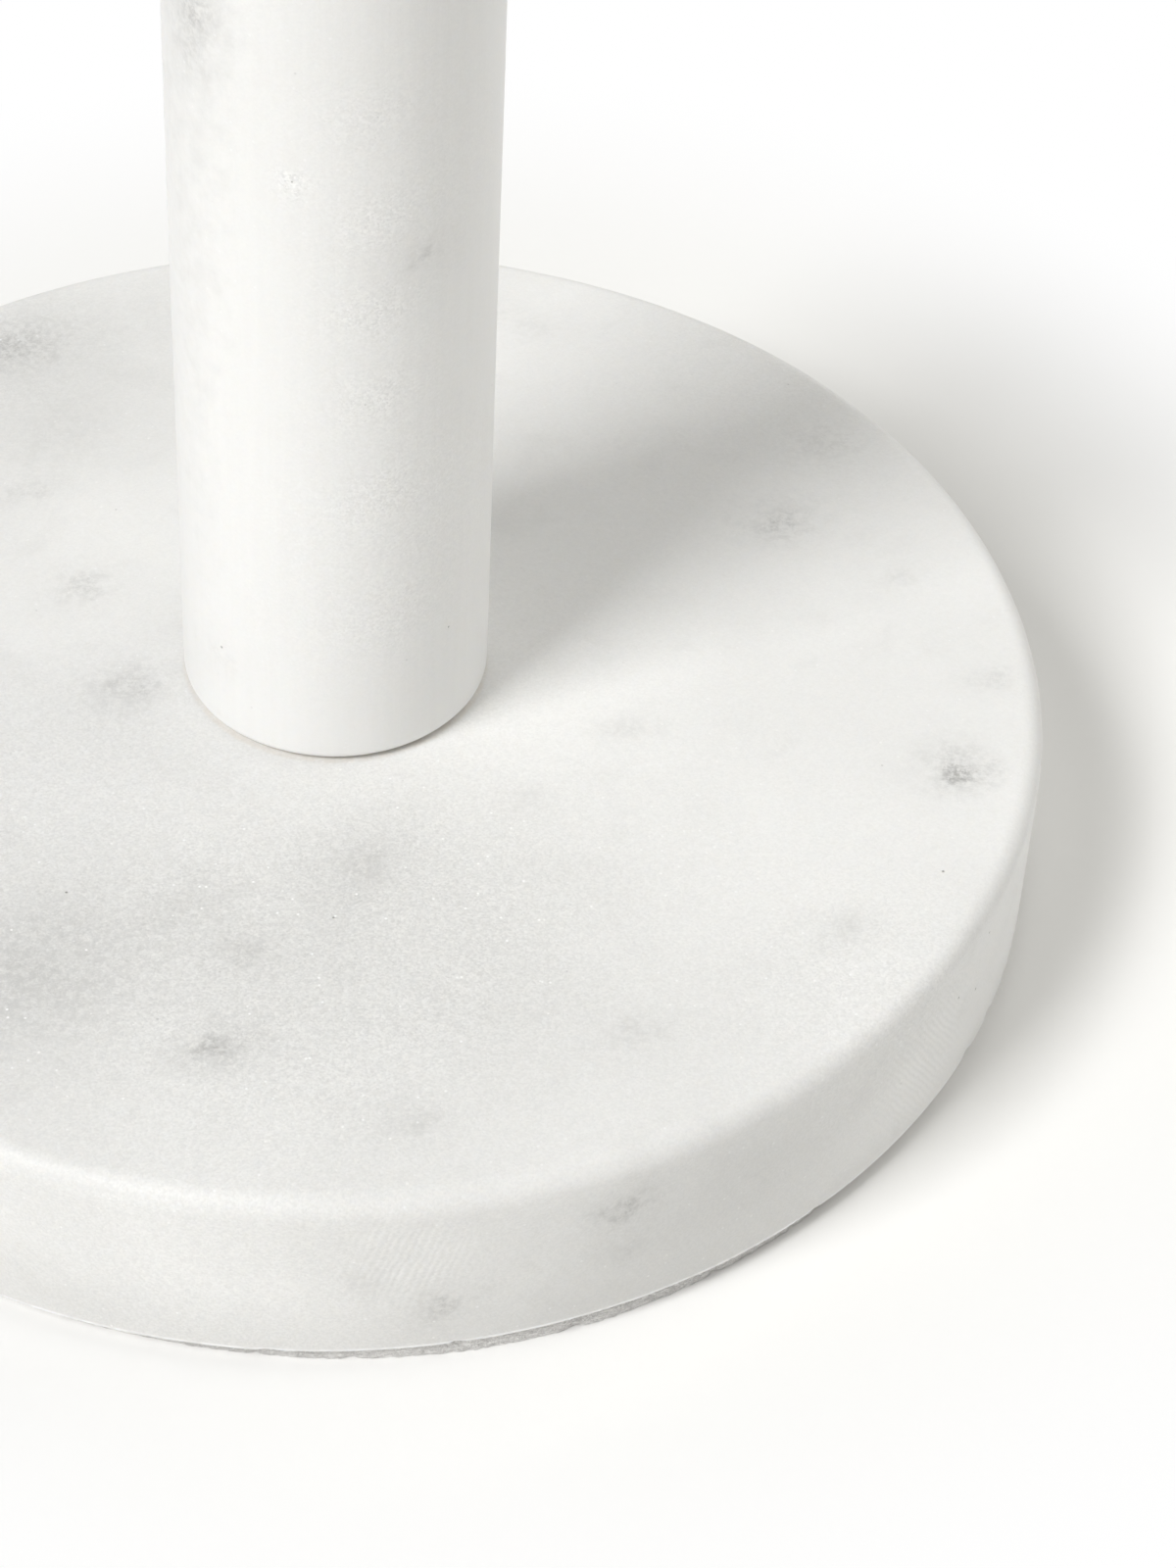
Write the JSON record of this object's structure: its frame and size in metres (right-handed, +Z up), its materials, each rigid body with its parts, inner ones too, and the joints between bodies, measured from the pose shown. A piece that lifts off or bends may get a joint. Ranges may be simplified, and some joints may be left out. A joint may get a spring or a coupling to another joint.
{
  "type": "paper towel holder",
  "caption": "Countertop paper towel holder: a plain round column that screws into the middle of a heavy round stone base with a felt pad under it.",
  "frame": {"origin": "centre of the pad's underside, on the worktop", "axes": "+Z up along the column's axis; X and Y lie in the worktop, and the holder looks the same all round"},
  "size_m": [0.15, 0.15, 0.32],
  "materials": {
    "base_marble": "honed white marble",
    "column_marble": "honed white marble",
    "felt": "thin grey wool-look felt",
    "adhesive_film": "double-sided film",
    "clear_plastic": "clear soft plastic",
    "steel": "zinc-plated thread",
    "resin": "set stone resin",
    "brass": "turned brass"
  },
  "bodies": {
    "base": {"base": "base_marble", "pad": "felt", "pad_film": "adhesive_film", "base_insert": "brass", "insert_resin": "resin"},
    "washer": {"foot_washer": "clear_plastic"},
    "column": {"column": "column_marble", "stud": "steel", "stud_resin": "resin"}
  },
  "joints": [
    {"name": "column_lift", "type": "slide", "parent": "base", "child": "washer", "axis": [0, 0, 1], "range_m": [0, 0.0125]},
    {"name": "column_turn", "type": "hinge", "parent": "washer", "child": "column", "pos_m": [0, 0, 0.023], "axis": [0, 0, 1], "range_deg": [0, 3600]}
  ],
  "couplings": [
    {"joint": "column_turn", "follows": "column_lift", "rad_per_m": 5026.5}
  ]
}
